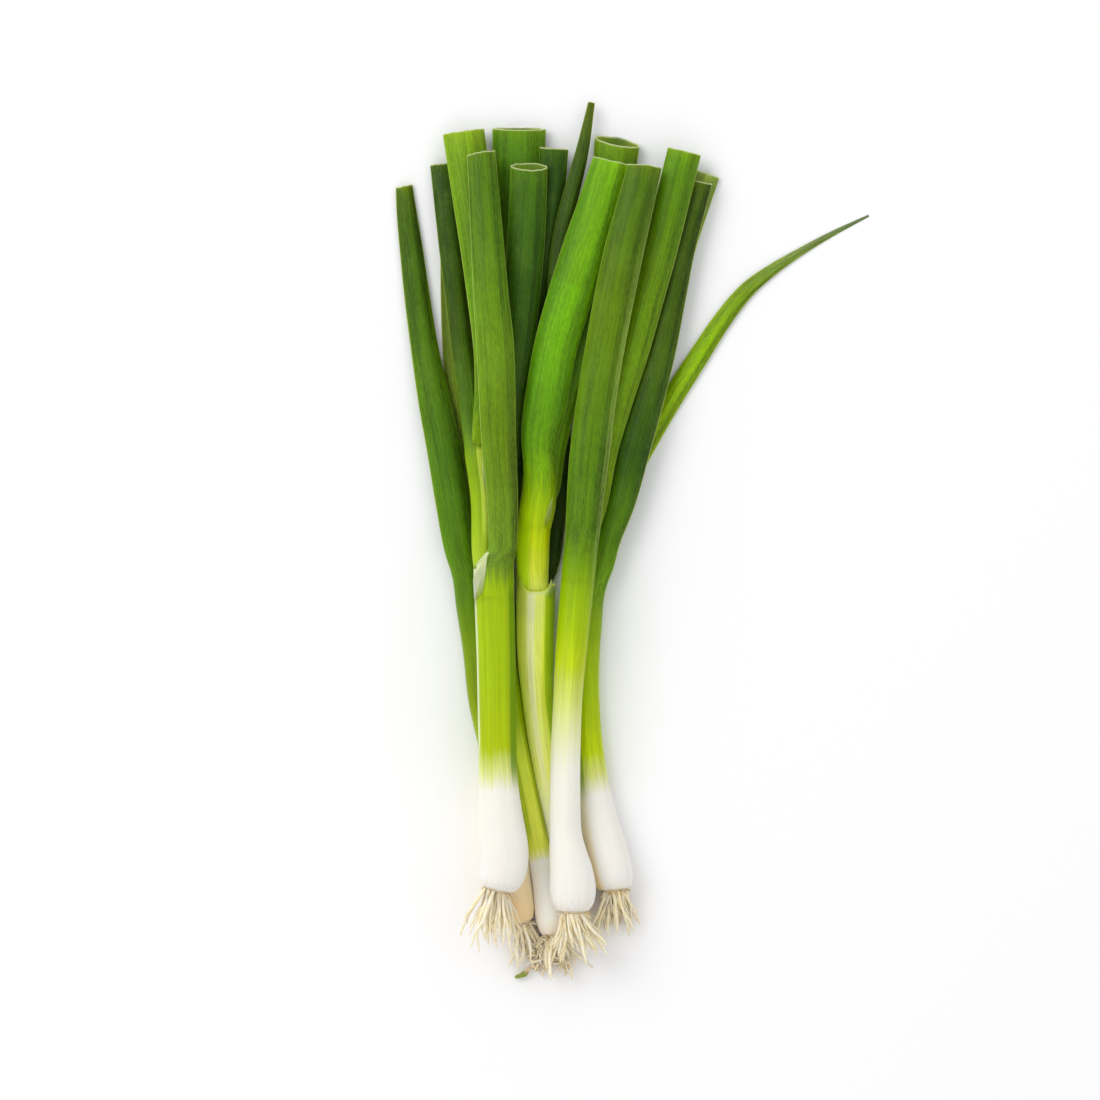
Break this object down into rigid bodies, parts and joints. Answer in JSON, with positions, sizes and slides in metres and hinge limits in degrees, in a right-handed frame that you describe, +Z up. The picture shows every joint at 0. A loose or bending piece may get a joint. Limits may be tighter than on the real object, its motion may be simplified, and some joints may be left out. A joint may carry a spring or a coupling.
{
  "type": "spring onion bunch",
  "caption": "Loose bunch of whole trimmed spring onions lying down, with white bulbs, root tufts, pale stems and hollow green leaves cut open at their tips.",
  "frame": {"origin": "centre of the bunch's bounding box in plan, at the surface it lies on", "axes": "+Y along the stems towards the leaf tips, +Z up from the surface"},
  "size_m": [0.1611, 0.2986, 0.0267],
  "materials": {
    "bulb": "satin",
    "dark_leaf": "satin",
    "light_leaf": "satin",
    "root": "matte"
  },
  "bodies": {
    "root": {"onion_a_shank": "bulb", "onion_a_leaf_1": "dark_leaf", "onion_a_leaf_2": "light_leaf", "onion_a_leaf_3": "dark_leaf", "onion_a_roots": "root", "onion_b_shank": "bulb", "onion_b_leaf_1": "dark_leaf", "onion_b_leaf_2": "dark_leaf", "onion_b_leaf_3": "dark_leaf", "onion_b_roots": "root", "onion_c_shank": "bulb", "onion_c_leaf_1": "dark_leaf", "onion_c_leaf_2": "light_leaf", "onion_c_roots": "root", "onion_d_shank": "bulb", "onion_d_leaf_1": "dark_leaf", "onion_d_leaf_2": "light_leaf", "onion_d_leaf_3": "light_leaf", "onion_d_roots": "root", "onion_e_shank": "bulb", "onion_e_leaf_1": "light_leaf", "onion_e_leaf_2": "light_leaf", "onion_e_leaf_3": "dark_leaf", "onion_e_roots": "root", "onion_f_shank": "bulb", "onion_f_leaf_1": "dark_leaf", "onion_f_leaf_2": "dark_leaf", "onion_f_roots": "root"}
  },
  "joints": []
}
